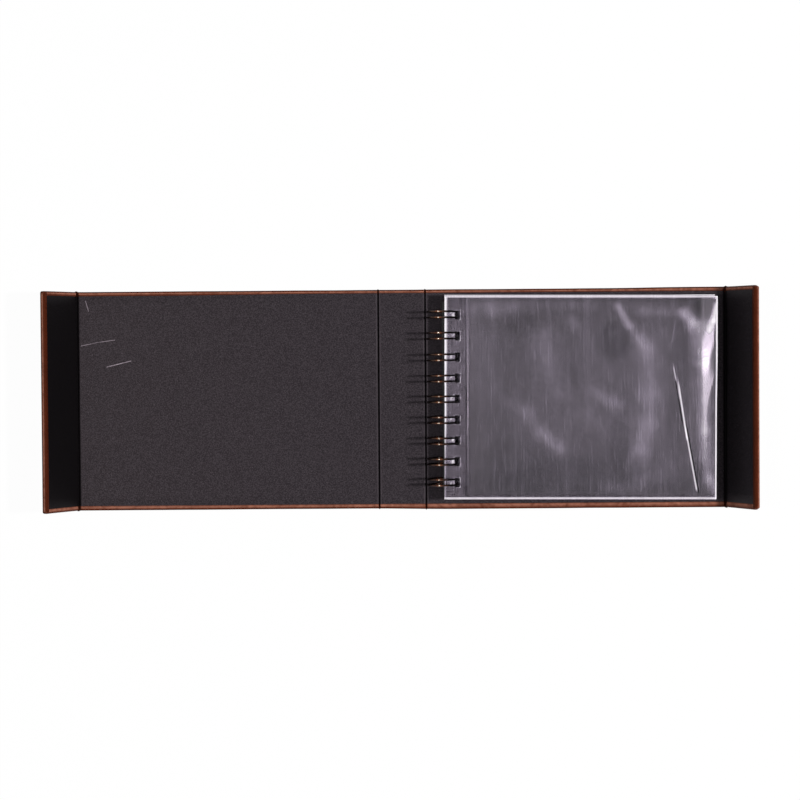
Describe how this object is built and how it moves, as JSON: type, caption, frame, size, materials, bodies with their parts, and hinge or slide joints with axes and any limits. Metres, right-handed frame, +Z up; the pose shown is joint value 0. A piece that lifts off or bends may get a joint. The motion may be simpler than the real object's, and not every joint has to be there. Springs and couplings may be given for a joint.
{
  "type": "coin album",
  "caption": "Wire-bound album of clear pocket leaves in a wrapped-board cover with a wide spine and a closing flap at each end, lying open.",
  "frame": {"origin": "bottom centre of the open album's bounding box, on the surface it lies on, in the spine panel", "axes": "+X from the front flap past the spine to the back flap, +Y to the head of the album, +Z up from the table"},
  "size_m": [0.4322, 0.134, 0.0289],
  "materials": {
    "covering": "satin",
    "greyboard": "matte",
    "lining": "satin",
    "black_card": "matte",
    "clear_film": "gloss",
    "bronzed_wire": "satin",
    "plated_magnet": "satin",
    "keeper_steel": "satin"
  },
  "bodies": {
    "back_cover": {"back_cover_covering": "covering", "back_cover_board": "greyboard", "back_cover_lining": "lining", "carrier_board": "black_card", "binding_wire": "bronzed_wire", "back_spine_fold_strip": "covering", "back_flap_fold_strip": "covering"},
    "spine": {"spine_covering": "covering", "spine_board": "greyboard", "spine_lining": "lining", "front_spine_fold_strip": "covering"},
    "front_cover": {"front_cover_covering": "covering", "front_cover_board": "greyboard", "front_cover_lining": "lining", "front_flap_fold_strip": "covering"},
    "front_flap": {"front_flap_covering": "covering", "front_flap_board": "greyboard", "front_flap_lining": "lining", "front_flap_magnets": "plated_magnet"},
    "back_flap": {"back_flap_covering": "covering", "back_flap_board": "greyboard", "back_flap_lining": "lining", "back_flap_keepers": "keeper_steel"},
    "leaf_01": {"leaf_01_sleeve": "clear_film", "leaf_01_insert": "black_card"},
    "leaf_02": {"leaf_02_sleeve": "clear_film", "leaf_02_insert": "black_card"},
    "leaf_03": {"leaf_03_sleeve": "clear_film", "leaf_03_insert": "black_card"},
    "leaf_04": {"leaf_04_sleeve": "clear_film", "leaf_04_insert": "black_card"},
    "leaf_05": {"leaf_05_sleeve": "clear_film", "leaf_05_insert": "black_card"},
    "leaf_06": {"leaf_06_sleeve": "clear_film", "leaf_06_insert": "black_card"},
    "leaf_07": {"leaf_07_sleeve": "clear_film", "leaf_07_insert": "black_card"},
    "leaf_08": {"leaf_08_sleeve": "clear_film", "leaf_08_insert": "black_card"},
    "leaf_09": {"leaf_09_sleeve": "clear_film", "leaf_09_insert": "black_card"},
    "leaf_10": {"leaf_10_sleeve": "clear_film", "leaf_10_insert": "black_card"}
  },
  "joints": [
    {"name": "back_spine_fold", "type": "hinge", "parent": "back_cover", "child": "spine", "pos_m": [0.01555, 0, 0.004], "axis": [0, 1, 0], "range_deg": [0, 90], "deforming": ["back_spine_fold_strip"]},
    {"name": "front_spine_fold", "type": "hinge", "parent": "spine", "child": "front_cover", "pos_m": [-0.01315, 0, 0.004], "axis": [0, 1, 0], "range_deg": [0, 90], "deforming": ["front_spine_fold_strip"]},
    {"name": "front_flap_fold", "type": "hinge", "parent": "front_cover", "child": "front_flap", "pos_m": [-0.19715, 0, 0.004], "axis": [0, 1, 0], "range_deg": [-58, 25], "deforming": ["front_flap_fold_strip"]},
    {"name": "back_flap_fold", "type": "hinge", "parent": "back_cover", "child": "back_flap", "pos_m": [0.19865, 0, 0.004], "axis": [0, -1, 0], "range_deg": [-60, 40], "deforming": ["back_flap_fold_strip"]},
    {"name": "leaf_01_turn", "type": "hinge", "parent": "back_cover", "child": "leaf_01", "pos_m": [0.0258, 0, 0.01415], "axis": [0, 1, 0], "range_deg": [-180, 0]},
    {"name": "leaf_02_turn", "type": "hinge", "parent": "leaf_01", "child": "leaf_02", "pos_m": [0.0258, 0, 0.01415], "axis": [0, 1, 0], "range_deg": [-180, 0]},
    {"name": "leaf_03_turn", "type": "hinge", "parent": "leaf_02", "child": "leaf_03", "pos_m": [0.0258, 0, 0.01415], "axis": [0, 1, 0], "range_deg": [-180, 0]},
    {"name": "leaf_04_turn", "type": "hinge", "parent": "leaf_03", "child": "leaf_04", "pos_m": [0.0258, 0, 0.01415], "axis": [0, 1, 0], "range_deg": [-180, 0]},
    {"name": "leaf_05_turn", "type": "hinge", "parent": "leaf_04", "child": "leaf_05", "pos_m": [0.0258, 0, 0.01415], "axis": [0, 1, 0], "range_deg": [-180, 0]},
    {"name": "leaf_06_turn", "type": "hinge", "parent": "leaf_05", "child": "leaf_06", "pos_m": [0.0258, 0, 0.01415], "axis": [0, 1, 0], "range_deg": [-180, 0]},
    {"name": "leaf_07_turn", "type": "hinge", "parent": "leaf_06", "child": "leaf_07", "pos_m": [0.0258, 0, 0.01415], "axis": [0, 1, 0], "range_deg": [-180, 0]},
    {"name": "leaf_08_turn", "type": "hinge", "parent": "leaf_07", "child": "leaf_08", "pos_m": [0.0258, 0, 0.01415], "axis": [0, 1, 0], "range_deg": [-180, 0]},
    {"name": "leaf_09_turn", "type": "hinge", "parent": "leaf_08", "child": "leaf_09", "pos_m": [0.0258, 0, 0.01415], "axis": [0, 1, 0], "range_deg": [-180, 0]},
    {"name": "leaf_10_turn", "type": "hinge", "parent": "leaf_09", "child": "leaf_10", "pos_m": [0.0258, 0, 0.01415], "axis": [0, 1, 0], "range_deg": [-180, 0]}
  ]
}
